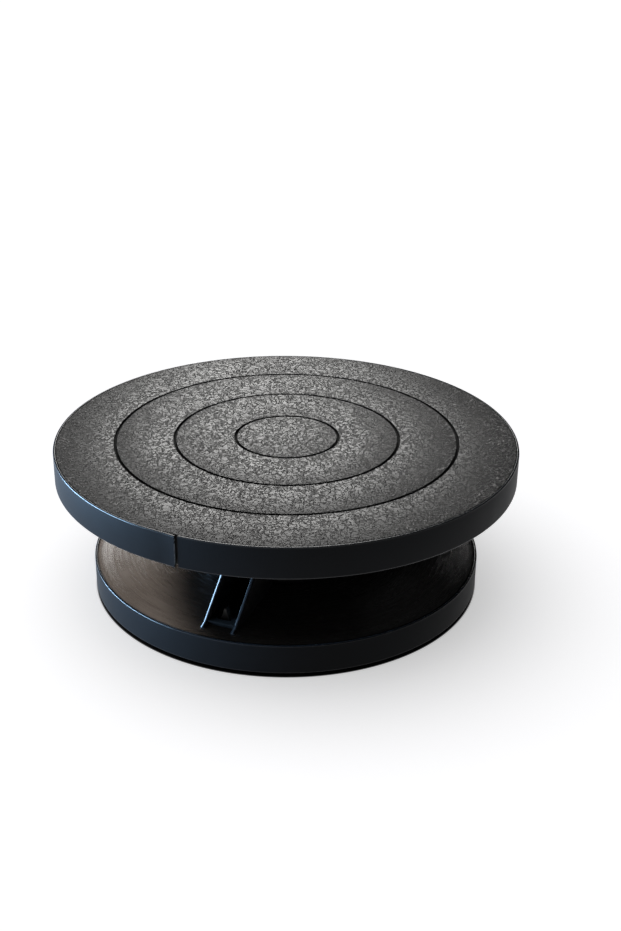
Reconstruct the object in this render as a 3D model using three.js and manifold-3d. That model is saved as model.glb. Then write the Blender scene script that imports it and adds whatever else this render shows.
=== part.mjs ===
// Sculpting turntable: a textured round head that spins on a ball bearing above a smaller round base.
// Millimetres, +Z up. The feet stand on z = 0, the spin axis is the Z axis and the front faces -Y.

import * as THREE from 'three';
import { mergeVertices } from 'three/addons/utils/BufferGeometryUtils.js';
import Module from 'manifold-3d';

const wasm = await Module();
wasm.setup();

// ---- Driving dimensions -------------------------------------------------------------------------

const HEAD_RADIUS = 75; // overall radius of the wheel head, band included
const HEAD_TOP = 50; // working surface above the table
const RIM_HEIGHT = 10.1; // height of the head's banded edge
const BASE_RADIUS = 64; // overall radius of the base, band included
const BASE_TOP = 10.8; // rim of the base above the table
const SKIRT_LIFT = 1.3; // the base skirt stays this far above the table, on rubber feet

const BAND_THICKNESS = 0.8; // edge band glued round each disc
const GLUE_GAP = 0.1; // glue line between a disc and its band
const FIT_GAP = 0.3; // clearance between pieces that fit into each other
const SEAT_GAP = 0.1; // clearance between faces that rest on each other
const RUNNING_GAP = 0.15; // radial clearance of the spindle in its bushes
const HOLE_SPARE = 0.3; // a blind hole is this much deeper than what goes into it
const EDGE_BREAK = 0.2; // small chamfer on the discs' moulded edges
const WELD_OVERLAP = 0.6; // ribs, bosses and teeth start this deep inside the wall that they grow from
const CUT_MARGIN = 1; // a cutting shape runs this far past the faces that it opens

// How many flats stand for a full turn.
const FACETS = {
  disc: 64, cage: 40, hub: 36, bearing: 32, washer: 24, boss: 20, foot: 16, hole: 12, screw: 10,
};

const GROOVE_RADII = [16.65, 36.3, 55.4]; // centring rings cut into the head
const GROOVE_HALF_WIDTH = 0.45;
const GROOVE_DEPTH = 0.6;
const HEAD_SEAM_ANGLE = -114.2; // where the two ends of the head band meet, degrees from +X
const BASE_SEAM_ANGLE = 66;
const SEAM_GAP = 0.6;

const PLATE_THICKNESS = 3.4; // outer part of the head plate
const CENTRE_THICKNESS = 4.3; // middle of the head plate, where the spindle flange seats
const SKIRT_THICKNESS = 2.2;
const SKIRT_SHORTFALL = 0.3; // a disc's skirt ends this far short of its band
const DUST_RING = { inner: 24.2, outer: 26.4, drop: 12.5 }; // collar that hangs round the bearing
const RIB_COUNT = 8;
const RIB_THICKNESS = 1.6;
const RIB_DEPTH = 1.7;
const FIRST_RIB_ANGLE = 22.5;

const BASE_PLATE_THICKNESS = 2.6;
const RECESS_RADIUS = 60; // inside this radius the base plate is a little lower
const RECESS_DEPTH = 0.3;
const BASE_OPENING_RADIUS = 16; // access to the retaining screw from below
const COLLAR_DROP = 5.5; // the collar round that opening reaches this far below the base's rim
const COLLAR_THICKNESS = 1.6;
const BASE_RIB_START = 32; // the base's ribs run outwards from here

const ARM_ANGLES = [-110.4, 9.6, 129.6]; // the pedestal's three spider arms
const FIN_OFFSET = 4.9; // each arm is a pair of fins this far either side of its centre line
const FIN_THICKNESS = 1.3;
const FIN_SLOPE = 0.685; // fall of a fin's upper edge from the hub to its toe
const FIN_TOE = { start: 56.4, height: 1.25, reach: 59.2, nose: 0.4 }; // shallower outer end of a fin
const HUB_RADIUS_LOW = 21;
const HUB_RADIUS_TOP = 19;
const HUB_HOLLOW_RADIUS = 17;
const HUB_FLANGE = { radius: 27.5, height: 2 }; // the hub stands on this rim and is screwed down through it
const WEB_THICKNESS = 8; // the web at the hub's top, which carries the two bushes
const ARM_FLOOR_THICKNESS = 1.2;
const WINDOW = { inner: 49.6, outer: 54.2, width: 4.4 }; // slot in each arm floor for a locating tooth
const TOOTH = { reach: 51.9, thickness: 2.6, width: 3, tipWidth: 0.6, height: 4.5, shoulder: 0.4 };

const SPINDLE_RADIUS = 4;
const SPINDLE_PROTRUSION = 1.6; // the spindle reaches this far below the web
const SPINDLE_CHAMFER = 0.4;
const SPINDLE_BORE_DEPTH = 10; // blind hole for the retaining screw
const FLANGE_RADIUS = 23.6;
const FLANGE_THICKNESS = 1.6;
const SPIGOT_RADIUS = 8.2; // locates both races
const SPIGOT_HEIGHT = 1;
const BUSH_RADIUS = 6;
const BUSH_LENGTH = 3.8;
const BUSH_FLANGE = 1;

const BALL_COUNT = 10;
const BALL_RADIUS = 2.5;
const BALL_PITCH = 13; // radius of the ball circle
const BALL_DROP = 10; // the ball centres lie this far below the working surface
const BALL_RISE = 4; // and this far above the pedestal's top
const BALL_FACETS = { around: 10, down: 7 };
const RACE = { inner: 8.5, outer: 17.5, thickness: 2.1, faceOffset: 1.8, groove: 2.8 };
const CAGE = { inner: 9.3, outer: 16.7, thickness: 1.6, pocket: 2.75 };

const FLANGE_SCREW = { circle: 20.8, shank: 1.4, head: 2.4, headHeight: 1.6, length: 4.4 };
const FLANGE_SCREW_ANGLES = [45, 135, 225, 315];
const PEDESTAL_SCREW = { circle: 24.6, shank: 1.4, head: 3, headHeight: 1.9, length: 10 };
const RETAINING_SCREW = { shank: 1.5, head: 3.4, headHeight: 2, length: 10.6 };
const WASHER = { inner: 1.9, outer: 8, thickness: 1.2 };
const SCREW_BOSS = { circle: 23.8, radius: 3.4, height: 11.5 };

const FOOT = { circle: 51, radius: 6, height: 2.9, chamfer: 0.4, stem: 2.2, stemHeight: 3.4 };
const FOOT_ANGLES = [45, 135, 225, 315];
const FOOT_BOSS_RADIUS = 7.4;

// ---- Derived levels -----------------------------------------------------------------------------

const headDiscRadius = HEAD_RADIUS - BAND_THICKNESS - GLUE_GAP;
const headRimBottom = HEAD_TOP - RIM_HEIGHT;
const headUnderside = HEAD_TOP - PLATE_THICKNESS;
const headSeat = HEAD_TOP - CENTRE_THICKNESS;
const dustRingBottom = HEAD_TOP - DUST_RING.drop;
const flangeTop = headSeat - SEAT_GAP;
const flangeBottom = flangeTop - FLANGE_THICKNESS;
const baseDiscRadius = BASE_RADIUS - BAND_THICKNESS - GLUE_GAP;
const baseFloor = BASE_TOP - RECESS_DEPTH;
const baseUnderside = BASE_TOP - BASE_PLATE_THICKNESS;
const pedestalBottom = baseFloor + SEAT_GAP;
const collarBottom = BASE_TOP - COLLAR_DROP;
const ballHeight = HEAD_TOP - BALL_DROP;
const pedestalTop = ballHeight - BALL_RISE;
const webBottom = pedestalTop - WEB_THICKNESS;
const spindleBottom = webBottom - SPINDLE_PROTRUSION;
const bossBottom = FOOT.height + FIT_GAP;

// ---- Geometry helpers ---------------------------------------------------------------------------

// Drops all but the positions, welds shared corners and leaves out triangles with no area.
function weld(geometry) {
  const bare = geometry.index ? geometry : mergeVertices(geometry);
  bare.deleteAttribute('normal');
  bare.deleteAttribute('uv');
  const welded = mergeVertices(bare, 1e-5);
  const index = welded.index.array;
  const kept = [];
  for (let i = 0; i < index.length; i += 3) {
    const [a, b, c] = [index[i], index[i + 1], index[i + 2]];
    if (a !== b && b !== c && c !== a) kept.push(a, b, c);
  }
  welded.setIndex(kept);
  return welded;
}

function toSolid(geometry) {
  const welded = weld(geometry);
  const vertProperties = new Float32Array(welded.attributes.position.array);
  const triVerts = new Uint32Array(welded.index.array);
  return new wasm.Manifold(new wasm.Mesh({ numProp: 3, vertProperties, triVerts }));
}

function toGeometry(solid) {
  const mesh = solid.getMesh();
  const geometry = new THREE.BufferGeometry();
  geometry.setAttribute('position', new THREE.BufferAttribute(mesh.vertProperties, 3));
  geometry.setIndex(new THREE.BufferAttribute(mesh.triVerts, 1));
  return geometry;
}

const join = (first, ...rest) => rest.reduce((sum, solid) => sum.add(solid), first);
const cut = (first, ...rest) => rest.reduce((sum, solid) => sum.subtract(solid), first);

// A shape turned about the Z axis from [radius, height] points, listed upwards along the outside.
function turned(profile, segments) {
  const points = profile.map(([radius, height]) => new THREE.Vector2(radius, height));
  return toSolid(new THREE.LatheGeometry(points, segments).rotateX(Math.PI / 2));
}

// A closed ring: its profile ends where it starts.
const ring = (profile, segments) => turned([...profile, profile[0]], segments);

const tube = (inner, outer, bottom, top, segments) =>
  ring([[inner, bottom], [outer, bottom], [outer, top], [inner, top]], segments);

const disc = (radius, bottom, top, segments) =>
  turned([[0, bottom], [radius, bottom], [radius, top], [0, top]], segments);

// An outline of [along, height] points, given a thickness across and centred on the XZ plane.
function fin(outline, thickness) {
  const shape = new THREE.Shape(outline.map(([along, height]) => new THREE.Vector2(along, height)));
  const geometry = new THREE.ExtrudeGeometry(shape, { depth: thickness, bevelEnabled: false });
  return toSolid(geometry.rotateX(Math.PI / 2).translate(0, thickness / 2, 0));
}

const bar = (from, to, width, bottom, top) =>
  fin([[from, bottom], [to, bottom], [to, top], [from, top]], width);

const spun = (solid, degrees) => solid.rotate([0, 0, degrees]);

const around = (solid, angles) => angles.map((angle) => spun(solid, angle));

const evenly = (count, start = 0) => Array.from({ length: count }, (_, i) => start + (i * 360) / count);

// ---- Materials and placing ----------------------------------------------------------------------

const surface = (color, roughness, metalness) => () =>
  new THREE.MeshStandardMaterial({ color, roughness, metalness });

const grainedPlastic = surface(0x2a2b2d, 0.55, 0);
const bandPlastic = surface(0x1b2024, 0.6, 0);
const blackPlastic = surface(0x17181a, 0.45, 0);
const bearingNylon = surface(0xd8d4c6, 0.5, 0);
const bearingSteel = surface(0xb9bcc0, 0.2, 1);
const zincSteel = surface(0x9a9ea3, 0.35, 1);
const footRubber = surface(0x141414, 0.9, 0);

const turntable = new THREE.Group();
const base = new THREE.Group();
const cage = new THREE.Group();
const head = new THREE.Group();
turntable.add(base, cage, head);

function place(group, name, solid, material) {
  const mesh = new THREE.Mesh(toGeometry(solid), material());
  mesh.name = name;
  group.add(mesh);
}

// ---- Shared pieces ------------------------------------------------------------------------------

// An edge band wrapped round a disc, open at the joint between its two ends.
function edgeBand(radius, bottom, top, seamAngle) {
  const inner = radius - BAND_THICKNESS;
  const band = tube(inner, radius, bottom, top, FACETS.disc);
  const seam = bar(inner - CUT_MARGIN, radius + CUT_MARGIN, SEAM_GAP, bottom - CUT_MARGIN, top + CUT_MARGIN);
  return cut(band, spun(seam, seamAngle));
}

// A ball race: a washer with a round groove in its lower face, or in its upper one.
function race(faceHeight, direction) {
  const back = faceHeight + direction * RACE.thickness;
  const halfWidth = Math.sqrt(RACE.groove ** 2 - RACE.faceOffset ** 2);
  const start = Math.atan2(halfWidth, RACE.faceOffset);
  const groove = [];
  const steps = 3;
  for (let i = 0; i <= steps; i++) {
    const angle = start - (2 * start * i) / steps;
    const radius = BALL_PITCH + RACE.groove * Math.sin(angle);
    groove.push([radius, ballHeight + direction * RACE.groove * Math.cos(angle)]);
  }
  const outline = [[RACE.inner, back], [RACE.outer, back], [RACE.outer, faceHeight], ...groove,
    [RACE.inner, faceHeight]];
  return ring(direction > 0 ? outline.reverse() : outline, FACETS.bearing);
}

// A screw that points up, under the face that it holds: a domed head with a cross recess, a plain
// shank and a blunt point.
function screw({ shank, head, headHeight, length }, face) {
  const seat = face - SEAT_GAP;
  const bottom = seat - headHeight;
  const shoulder = bottom + headHeight / 2;
  const tip = seat + length;
  const pointLength = 1;
  const pointRadius = shank * 0.4;
  const domeRadius = head * 0.7;
  const body = turned([
    [0, bottom], [domeRadius, bottom], [head, shoulder], [head, seat],
    [shank, seat], [shank, tip - pointLength], [pointRadius, tip], [0, tip],
  ], FACETS.screw);
  const slotReach = head * 0.55;
  const slotWidth = head * 0.25;
  const slot = bar(-slotReach, slotReach, slotWidth, bottom - CUT_MARGIN, shoulder);
  return cut(body, slot, spun(slot, 90));
}

// A round hole standing on a circle round the spin axis, at azimuth 0.
const holeAt = (circle, radius, bottom, top) =>
  disc(radius, bottom, top, FACETS.hole).translate([circle, 0, 0]);

// ---- Wheel head ---------------------------------------------------------------------------------

function headDisc() {
  const skirtInner = headDiscRadius - SKIRT_THICKNESS;
  const skirtBottom = headRimBottom + SKIRT_SHORTFALL;
  const grooves = [...GROOVE_RADII].reverse().flatMap((radius) => [
    [radius + GROOVE_HALF_WIDTH, HEAD_TOP],
    [radius, HEAD_TOP - GROOVE_DEPTH],
    [radius - GROOVE_HALF_WIDTH, HEAD_TOP],
  ]);
  const shell = turned([
    [0, headSeat], [DUST_RING.inner, headSeat],
    [DUST_RING.inner, dustRingBottom], [DUST_RING.outer, dustRingBottom],
    [DUST_RING.outer, headUnderside], [skirtInner, headUnderside],
    [skirtInner, skirtBottom], [headDiscRadius, skirtBottom],
    [headDiscRadius, HEAD_TOP - EDGE_BREAK], [headDiscRadius - EDGE_BREAK, HEAD_TOP],
    ...grooves, [0, HEAD_TOP],
  ], FACETS.disc);
  const rib = bar(DUST_RING.outer - WELD_OVERLAP, skirtInner + WELD_OVERLAP, RIB_THICKNESS,
    headUnderside - RIB_DEPTH, headUnderside + WELD_OVERLAP);
  const pilot = holeAt(FLANGE_SCREW.circle, FLANGE_SCREW.shank + FIT_GAP, headSeat - CUT_MARGIN,
    flangeBottom + FLANGE_SCREW.length + HOLE_SPARE);
  const ribbed = join(shell, ...around(rib, evenly(RIB_COUNT, FIRST_RIB_ANGLE)));
  return cut(ribbed, ...around(pilot, FLANGE_SCREW_ANGLES));
}

function spindle() {
  const bore = RETAINING_SCREW.shank + FIT_GAP;
  const boreTop = spindleBottom + SPINDLE_BORE_DEPTH;
  const spigotBottom = flangeBottom - SPIGOT_HEIGHT;
  const body = turned([
    [0, boreTop], [bore, boreTop], [bore, spindleBottom],
    [SPINDLE_RADIUS - SPINDLE_CHAMFER, spindleBottom], [SPINDLE_RADIUS, spindleBottom + SPINDLE_CHAMFER],
    [SPINDLE_RADIUS, spigotBottom], [SPIGOT_RADIUS, spigotBottom], [SPIGOT_RADIUS, flangeBottom],
    [FLANGE_RADIUS, flangeBottom], [FLANGE_RADIUS, flangeTop], [0, flangeTop],
  ], FACETS.hub);
  const hole = holeAt(FLANGE_SCREW.circle, FLANGE_SCREW.shank + FIT_GAP, flangeBottom - CUT_MARGIN,
    flangeTop + CUT_MARGIN);
  return cut(body, ...around(hole, FLANGE_SCREW_ANGLES));
}

place(head, 'head_disc', headDisc(), grainedPlastic);
place(head, 'head_band', edgeBand(HEAD_RADIUS, headRimBottom, HEAD_TOP, HEAD_SEAM_ANGLE), bandPlastic);
place(head, 'spindle', spindle(), zincSteel);
place(head, 'upper_race', race(ballHeight + RACE.faceOffset, 1), bearingSteel);

FLANGE_SCREW_ANGLES.forEach((angle, i) => {
  const piece = screw(FLANGE_SCREW, flangeBottom).translate([FLANGE_SCREW.circle, 0, 0]);
  place(head, `flange_screw_${i + 1}`, spun(piece, angle), zincSteel);
});

const washerTop = spindleBottom - SEAT_GAP;
const washerBottom = washerTop - WASHER.thickness;
const washer = tube(WASHER.inner, WASHER.outer, washerBottom, washerTop, FACETS.washer);
place(head, 'retaining_washer', washer, zincSteel);
place(head, 'retaining_screw', screw(RETAINING_SCREW, washerBottom), zincSteel);

// ---- Ball cage and balls ------------------------------------------------------------------------

function ballCage() {
  const half = CAGE.thickness / 2;
  const body = tube(CAGE.inner, CAGE.outer, ballHeight - half, ballHeight + half, FACETS.cage);
  const pocket = holeAt(BALL_PITCH, CAGE.pocket, ballHeight - CAGE.thickness, ballHeight + CAGE.thickness);
  return cut(body, ...around(pocket, evenly(BALL_COUNT)));
}

place(cage, 'ball_cage', ballCage(), bearingNylon);

evenly(BALL_COUNT).forEach((angle, i) => {
  const sphere = new THREE.SphereGeometry(BALL_RADIUS, BALL_FACETS.around, BALL_FACETS.down);
  const ball = toSolid(sphere.rotateX(Math.PI / 2)).translate([BALL_PITCH, 0, ballHeight]);
  place(cage, `ball_${String(i + 1).padStart(2, '0')}`, spun(ball, angle), bearingSteel);
});

// ---- Pedestal -----------------------------------------------------------------------------------

// The middles of the three bays between the arms, where the pedestal screws stand.
const bayAngles = ARM_ANGLES.map((angle) => angle + 60);

function arm() {
  const root = HUB_HOLLOW_RADIUS + WELD_OVERLAP;
  const toeTop = pedestalBottom + FIN_TOE.height;
  const topReach = FIN_TOE.start - (pedestalTop - toeTop) / FIN_SLOPE;
  const side = fin([
    [root, pedestalBottom], [FIN_TOE.reach, pedestalBottom], [FIN_TOE.reach, pedestalBottom + FIN_TOE.nose],
    [FIN_TOE.start, toeTop], [topReach, pedestalTop], [root, pedestalTop],
  ], FIN_THICKNESS);
  const floorTop = pedestalBottom + ARM_FLOOR_THICKNESS;
  const floor = bar(root, FIN_TOE.start, 2 * FIN_OFFSET, pedestalBottom, floorTop);
  const window = bar(WINDOW.inner, WINDOW.outer, WINDOW.width, pedestalBottom - CUT_MARGIN,
    floorTop + CUT_MARGIN);
  return join(cut(floor, window), side.translate([0, FIN_OFFSET, 0]), side.translate([0, -FIN_OFFSET, 0]));
}

function pedestal() {
  const rimTop = pedestalBottom + HUB_FLANGE.height;
  const hub = turned([
    [0, webBottom], [HUB_HOLLOW_RADIUS, webBottom], [HUB_HOLLOW_RADIUS, pedestalBottom],
    [HUB_FLANGE.radius, pedestalBottom], [HUB_FLANGE.radius, rimTop],
    [HUB_RADIUS_LOW, rimTop], [HUB_RADIUS_TOP, pedestalTop], [0, pedestalTop],
  ], FACETS.hub);
  const boss = disc(SCREW_BOSS.radius, pedestalBottom, pedestalBottom + SCREW_BOSS.height, FACETS.boss)
    .translate([SCREW_BOSS.circle, 0, 0]);
  const bore = disc(BUSH_RADIUS + FIT_GAP, webBottom - CUT_MARGIN, pedestalTop + CUT_MARGIN,
    FACETS.bearing);
  const pilot = holeAt(PEDESTAL_SCREW.circle, PEDESTAL_SCREW.shank + FIT_GAP, pedestalBottom - CUT_MARGIN,
    baseUnderside + PEDESTAL_SCREW.length + HOLE_SPARE);
  const solid = join(hub, ...around(boss, bayAngles), ...around(arm(), ARM_ANGLES));
  return cut(solid, bore, ...around(pilot, bayAngles));
}

// A flanged sleeve in the web. The flange points up on the upper bush and down on the lower one.
function bush(face, direction, flangeRadius) {
  const bore = SPINDLE_RADIUS + RUNNING_GAP;
  const outer = face + direction * BUSH_FLANGE;
  const inner = face - direction * BUSH_LENGTH;
  const outline = [[bore, outer], [flangeRadius, outer], [flangeRadius, face], [BUSH_RADIUS, face],
    [BUSH_RADIUS, inner], [bore, inner]];
  return ring(direction > 0 ? outline.reverse() : outline, FACETS.bearing);
}

// ---- Base ---------------------------------------------------------------------------------------

function baseDisc() {
  const skirtInner = baseDiscRadius - SKIRT_THICKNESS;
  const skirtBottom = SKIRT_LIFT + SKIRT_SHORTFALL;
  const collarOuter = BASE_OPENING_RADIUS + COLLAR_THICKNESS;
  const shell = ring([
    [BASE_OPENING_RADIUS, collarBottom], [collarOuter, collarBottom], [collarOuter, baseUnderside],
    [skirtInner, baseUnderside], [skirtInner, skirtBottom], [baseDiscRadius, skirtBottom],
    [baseDiscRadius, BASE_TOP - EDGE_BREAK], [baseDiscRadius - EDGE_BREAK, BASE_TOP],
    [RECESS_RADIUS, BASE_TOP], [RECESS_RADIUS - EDGE_BREAK, baseFloor], [BASE_OPENING_RADIUS, baseFloor],
  ], FACETS.disc);
  const rib = bar(BASE_RIB_START, skirtInner + WELD_OVERLAP, RIB_THICKNESS, baseUnderside - RIB_DEPTH,
    baseUnderside + WELD_OVERLAP);
  const boss = disc(FOOT_BOSS_RADIUS, bossBottom, baseUnderside + WELD_OVERLAP, FACETS.boss)
    .translate([FOOT.circle, 0, 0]);
  const socket = holeAt(FOOT.circle, FOOT.stem + FIT_GAP, bossBottom - CUT_MARGIN,
    bossBottom + FOOT.stemHeight + HOLE_SPARE);
  const screwHole = holeAt(PEDESTAL_SCREW.circle, PEDESTAL_SCREW.shank + 2 * FIT_GAP,
    baseUnderside - CUT_MARGIN, baseFloor + CUT_MARGIN);
  const solid = join(shell, ...around(rib, evenly(RIB_COUNT, FIRST_RIB_ANGLE)), ...around(boss, FOOT_ANGLES),
    ...around(locatingTooth(), ARM_ANGLES));
  return cut(solid, ...around(socket, FOOT_ANGLES), ...around(screwHole, bayAngles));
}

// A pointed tooth that stands up through the slot in an arm's floor.
function locatingTooth() {
  const root = baseFloor - WELD_OVERLAP;
  const shoulder = baseFloor + TOOTH.shoulder;
  const tip = baseFloor + TOOTH.height;
  const half = TOOTH.width / 2;
  const tipHalf = TOOTH.tipWidth / 2;
  const tooth = fin([
    [-half, root], [half, root], [half, shoulder], [tipHalf, tip], [-tipHalf, tip], [-half, shoulder],
  ], TOOTH.thickness);
  return spun(tooth, 90).translate([TOOTH.reach, 0, 0]);
}

function foot() {
  const stemTop = FOOT.height + FOOT.stemHeight;
  return turned([
    [0, 0], [FOOT.radius - FOOT.chamfer, 0], [FOOT.radius, FOOT.chamfer], [FOOT.radius, FOOT.height],
    [FOOT.stem, FOOT.height], [FOOT.stem, stemTop], [0, stemTop],
  ], FACETS.foot).translate([FOOT.circle, 0, 0]);
}

place(base, 'base_disc', baseDisc(), blackPlastic);
place(base, 'base_band', edgeBand(BASE_RADIUS, SKIRT_LIFT, BASE_TOP, BASE_SEAM_ANGLE), bandPlastic);
place(base, 'pedestal', pedestal(), blackPlastic);
place(base, 'lower_race', race(ballHeight - RACE.faceOffset, -1), bearingSteel);
place(base, 'upper_bush', bush(pedestalTop + SEAT_GAP, 1, SPIGOT_RADIUS), bearingNylon);
place(base, 'lower_bush', bush(webBottom - SEAT_GAP, -1, WASHER.outer), bearingNylon);

bayAngles.forEach((angle, i) => {
  const piece = screw(PEDESTAL_SCREW, baseUnderside).translate([PEDESTAL_SCREW.circle, 0, 0]);
  place(base, `pedestal_screw_${i + 1}`, spun(piece, angle), zincSteel);
});

FOOT_ANGLES.forEach((angle, i) => place(base, `foot_${i + 1}`, spun(foot(), angle), footRubber));

export default turntable;
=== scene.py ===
"""Looks for the sculpting turntable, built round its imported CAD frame. Metres, +Z up, front at -Y."""

import math
import random

import bmesh
import bpy
from mathutils import Matrix, Vector


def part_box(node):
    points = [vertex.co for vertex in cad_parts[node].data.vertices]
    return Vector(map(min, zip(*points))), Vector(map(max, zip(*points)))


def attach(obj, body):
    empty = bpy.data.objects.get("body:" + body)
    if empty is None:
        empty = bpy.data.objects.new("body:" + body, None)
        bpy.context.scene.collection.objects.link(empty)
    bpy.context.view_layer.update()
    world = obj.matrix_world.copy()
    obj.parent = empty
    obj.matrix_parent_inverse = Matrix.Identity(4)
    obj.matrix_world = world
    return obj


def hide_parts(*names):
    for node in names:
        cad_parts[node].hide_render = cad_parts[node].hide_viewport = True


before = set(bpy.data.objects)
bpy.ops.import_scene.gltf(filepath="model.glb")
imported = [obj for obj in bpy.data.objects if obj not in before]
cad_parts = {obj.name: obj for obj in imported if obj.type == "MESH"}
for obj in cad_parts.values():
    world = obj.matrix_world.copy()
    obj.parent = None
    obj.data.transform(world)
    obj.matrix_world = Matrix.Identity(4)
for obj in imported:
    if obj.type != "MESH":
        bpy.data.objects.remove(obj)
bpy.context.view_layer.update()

MM = 0.001
FINE = 288  # facets round the discs and bands
MEDIUM = 96  # facets round the bearing pieces
SMALL = 36  # facets round screws and holes

HEAD_SEAM = math.radians(-114.2)
BASE_SEAM = math.radians(66)
ARM_ANGLES = [math.radians(a) for a in (-110.4, 9.6, 129.6)]
BAY_ANGLES = [a + math.radians(60) for a in ARM_ANGLES]
RIB_ANGLES = [math.radians(22.5 + 45 * i) for i in range(8)]
RING_RADII = (16.65 * MM, 36.3 * MM, 55.4 * MM)

SEAT_GAP = 0.1 * MM  # clearance between faces that rest on each other
WELD = 0.6 * MM  # a rib or boss starts this deep inside the wall that it grows from
SPARE = 1 * MM  # a cutting shape runs this far past the faces that it opens
BAND_THICKNESS = 0.8 * MM
SKIRT_THICKNESS = 2.2 * MM
PLATE_FILLET = 0.8 * MM  # under a disc, between its plate and what hangs from it
PILOT_RADIUS = 1.7 * MM
BALL_COUNT, BALL_RADIUS = 10, 2.5 * MM
BALL_CIRCLE, BALL_HEIGHT = 13 * MM, 40 * MM

# ---- Places taken from the frame ----------------------------------------------------------------


def span(node):
    """Radius, bottom and top of a node that is centred on the spin axis."""
    low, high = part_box(node)
    return max(high.x, -low.x, high.y, -low.y), low.z, high.z


def middle(node):
    """Distance from the spin axis and azimuth of a node's centre, then its half width, bottom and top."""
    low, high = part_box(node)
    centre = (low + high) / 2
    return math.hypot(centre.x, centre.y), math.atan2(centre.y, centre.x), (high.x - low.x) / 2, low.z, high.z


HEAD_R, RIM_BOTTOM, HEAD_TOP = span("head_band")
DISC_R, DUST_BOTTOM, _ = span("head_disc")
BASE_R, BAND_BOTTOM, BASE_TOP = span("base_band")
BASE_DISC_R, SKIRT_BOTTOM, _ = span("base_disc")
_, PEDESTAL_BOTTOM, PEDESTAL_TOP = span("pedestal")

# ---- Mesh tools ---------------------------------------------------------------------------------


def rounded(points, steps=4):
    """A closed outline of (radius, height, fillet) points with each fillet turned into an arc."""
    outline = []
    for i, (x, y, fillet) in enumerate(points):
        corner = Vector((x, y))
        if not fillet:
            outline.append(corner)
            continue
        before = Vector(points[i - 1][:2]) - corner
        after = Vector(points[(i + 1) % len(points)][:2]) - corner
        half = before.angle(after) / 2
        reach = min(fillet / math.tan(half), before.length * 0.48, after.length * 0.48)
        radius = reach * math.tan(half)
        centre = corner + (before.normalized() + after.normalized()).normalized() * (radius / math.sin(half))
        start = corner + before.normalized() * reach - centre
        turn = -before.angle_signed(after)
        sweep = math.copysign(math.pi - abs(turn), turn)
        for k in range(steps + 1):
            outline.append(centre + Matrix.Rotation(-sweep * k / steps, 2) @ start)
    return outline


def new_object(name, bm, smooth_below=35):
    """Makes an object of a mesh, smooth but for the edges that turn by more than smooth_below degrees."""
    bmesh.ops.remove_doubles(bm, verts=bm.verts, dist=1e-7)
    bmesh.ops.recalc_face_normals(bm, faces=bm.faces)
    mesh = bpy.data.meshes.new(name)
    bm.to_mesh(mesh)
    bm.free()
    mesh.shade_smooth()
    mesh.set_sharp_from_angle(angle=math.radians(smooth_below))
    piece = bpy.data.objects.new(name, mesh)
    bpy.context.scene.collection.objects.link(piece)
    return piece


def swept(name, sections, closed, smooth_below=35):
    """Joins equal outlines into a skin. An open run is capped at both ends; a point on the axis is shared."""
    bm = bmesh.new()
    rings = [[bm.verts.new(p) for p in section] for section in sections]
    count = len(rings[0])
    pairs = zip(rings, rings[1:] + rings[:1]) if closed else zip(rings, rings[1:])
    for a, b in pairs:
        for i in range(count):
            j = (i + 1) % count
            on_axis = a[i].co.xy.length < 1e-9 and a[j].co.xy.length < 1e-9
            if not on_axis:
                bm.faces.new((a[i], a[j], b[j], b[i]))
    if not closed:
        bm.faces.new(reversed(rings[0]))
        bm.faces.new(rings[-1])
    bmesh.ops.remove_doubles(bm, verts=bm.verts, dist=1e-8)
    return new_object(name, bm, smooth_below)


def turned(name, outline, facets=FINE, centre=(0, 0), smooth_below=35):
    """An outline of (radius, height) points turned about a vertical line through centre."""
    sections = []
    for k in range(facets):
        a = 2 * math.pi * k / facets
        sections.append([(r * math.cos(a), r * math.sin(a), z) for r, z in outline])
    piece = swept(name, sections, closed=True, smooth_below=smooth_below)
    piece.data.transform(Matrix.Translation((centre[0], centre[1], 0)))
    return piece


def slab(name, outline, thickness, bevel=0.0, turn=0.0):
    """An outline of (along, height) points made `thickness` wide and turned about the spin axis."""
    bm = bmesh.new()
    near = [bm.verts.new((x, -thickness / 2, z)) for x, z in outline]
    far = [bm.verts.new((x, thickness / 2, z)) for x, z in outline]
    bm.faces.new(near)
    bm.faces.new(reversed(far))
    for i in range(len(outline)):
        j = (i + 1) % len(outline)
        bm.faces.new((near[j], near[i], far[i], far[j]))
    bmesh.ops.recalc_face_normals(bm, faces=bm.faces)
    if bevel:
        bmesh.ops.bevel(bm, geom=list(bm.edges), offset=bevel, segments=3, profile=0.5,
                        affect="EDGES", clamp_overlap=True)
    bmesh.ops.rotate(bm, verts=bm.verts, matrix=Matrix.Rotation(turn, 3, "Z"))
    return new_object(name, bm)


def block(name, x0, x1, width, z0, z1, **options):
    """A slab with a rectangular outline."""
    return slab(name, [(x0, z0), (x1, z0), (x1, z1), (x0, z1)], width, **options)


def combine(piece, tools, operation, smooth_below=35):
    """Joins the tools to the piece, or cuts them out of it, and removes them."""
    for tool in tools:
        modifier = piece.modifiers.new("combine", "BOOLEAN")
        modifier.operation = operation
        modifier.solver = "MANIFOLD"
        modifier.object = tool
    made = bpy.data.meshes.new_from_object(piece.evaluated_get(bpy.context.evaluated_depsgraph_get()))
    piece.modifiers.clear()
    piece.data = made
    for tool in tools:
        bpy.data.objects.remove(tool)
    made.shade_smooth()
    made.set_sharp_from_angle(angle=math.radians(smooth_below))
    return piece


def join_to(piece, *tools):
    return combine(piece, tools, "UNION")


def cut_from(piece, *tools):
    return combine(piece, tools, "DIFFERENCE")


def spot(at, angle):
    return at * math.cos(angle), at * math.sin(angle)


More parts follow.
